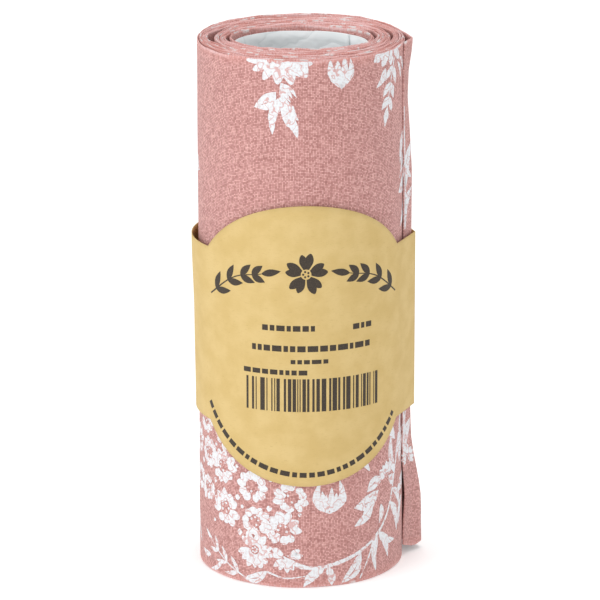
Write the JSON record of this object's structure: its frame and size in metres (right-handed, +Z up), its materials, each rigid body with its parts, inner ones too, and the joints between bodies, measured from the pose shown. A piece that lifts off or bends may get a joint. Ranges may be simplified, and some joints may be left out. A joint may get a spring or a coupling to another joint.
{
  "type": "fabric bolt",
  "caption": "Upright roll of cotton ribbon wound on a rolled card core, held by a paper band with a round label lobe.",
  "frame": {"origin": "on the surface the roll stands on, under the middle of the object's box; the roll's axis stands 1.93 mm towards -X and 0.48 mm towards -Y of it", "axes": "+Z up, along the roll's axis; -Y the side of the label's round lobe; +X the side of the ribbon's loose end"},
  "size_m": [0.0635, 0.06, 0.15],
  "materials": {
    "cotton": "matte",
    "white_card": "matte",
    "kraft_paper": "matte",
    "dry_glue": "satin"
  },
  "bodies": {
    "roll": {"fabric_strip": "cotton"},
    "core": {"core_card": "white_card"},
    "band": {"label_band": "kraft_paper", "band_glue": "dry_glue"}
  },
  "joints": [
    {"name": "band_slide", "type": "slide", "parent": "roll", "child": "band", "axis": [0, 0, 1], "range_m": [0, 0.13]},
    {"name": "core_slide", "type": "slide", "parent": "roll", "child": "core", "axis": [0, 0, 1], "range_m": [0, 0.155]}
  ]
}
